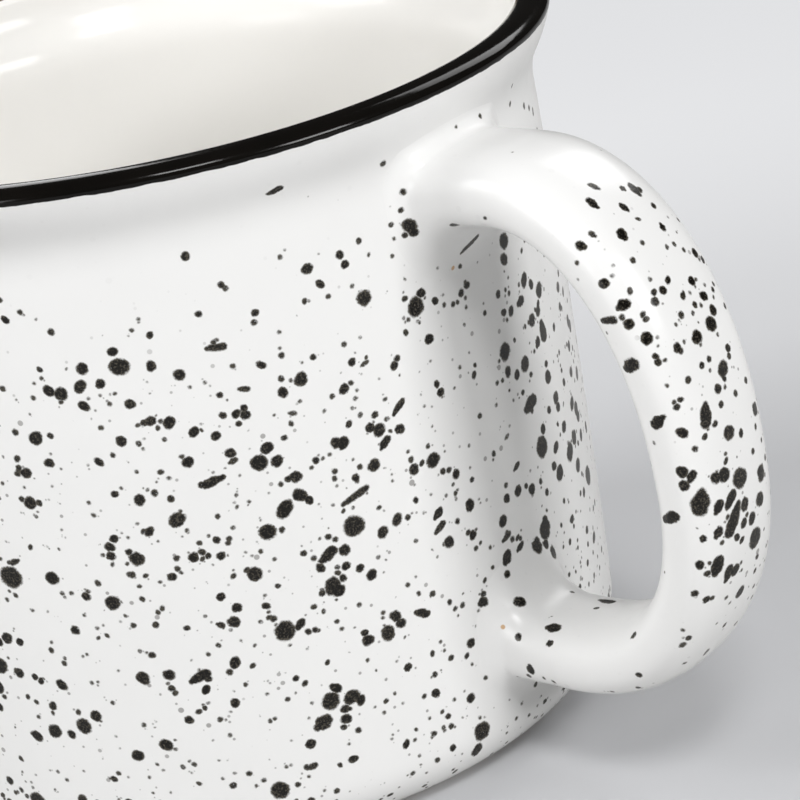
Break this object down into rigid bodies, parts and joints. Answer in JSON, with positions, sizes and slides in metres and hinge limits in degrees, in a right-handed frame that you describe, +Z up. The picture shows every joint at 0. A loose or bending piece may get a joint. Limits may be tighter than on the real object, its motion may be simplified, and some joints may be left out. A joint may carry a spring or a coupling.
{
  "type": "coffee mug",
  "caption": "Straight-sided ceramic mug with a flared dark-banded lip, speckled outer glaze, white liner and a strap handle luted to the wall; holds hot drinks.",
  "frame": {"origin": "middle of the footprint, handle included, on the standing plane", "axes": "+Z up along the cup's axis, which stands 13.8 mm towards -X; +X towards the handle"},
  "size_m": [0.1195, 0.092, 0.078],
  "materials": {
    "stoneware": "matte",
    "slip": "matte",
    "liner_glaze": "gloss",
    "speckled_glaze": "gloss",
    "rim_glaze": "gloss"
  },
  "bodies": {
    "root": {"cup_body": "stoneware", "handle": "stoneware", "upper_slip_joint": "slip", "lower_slip_joint": "slip", "liner_glaze": "liner_glaze", "outer_glaze": "speckled_glaze", "handle_glaze": "speckled_glaze", "rim_band": "rim_glaze"}
  },
  "joints": []
}
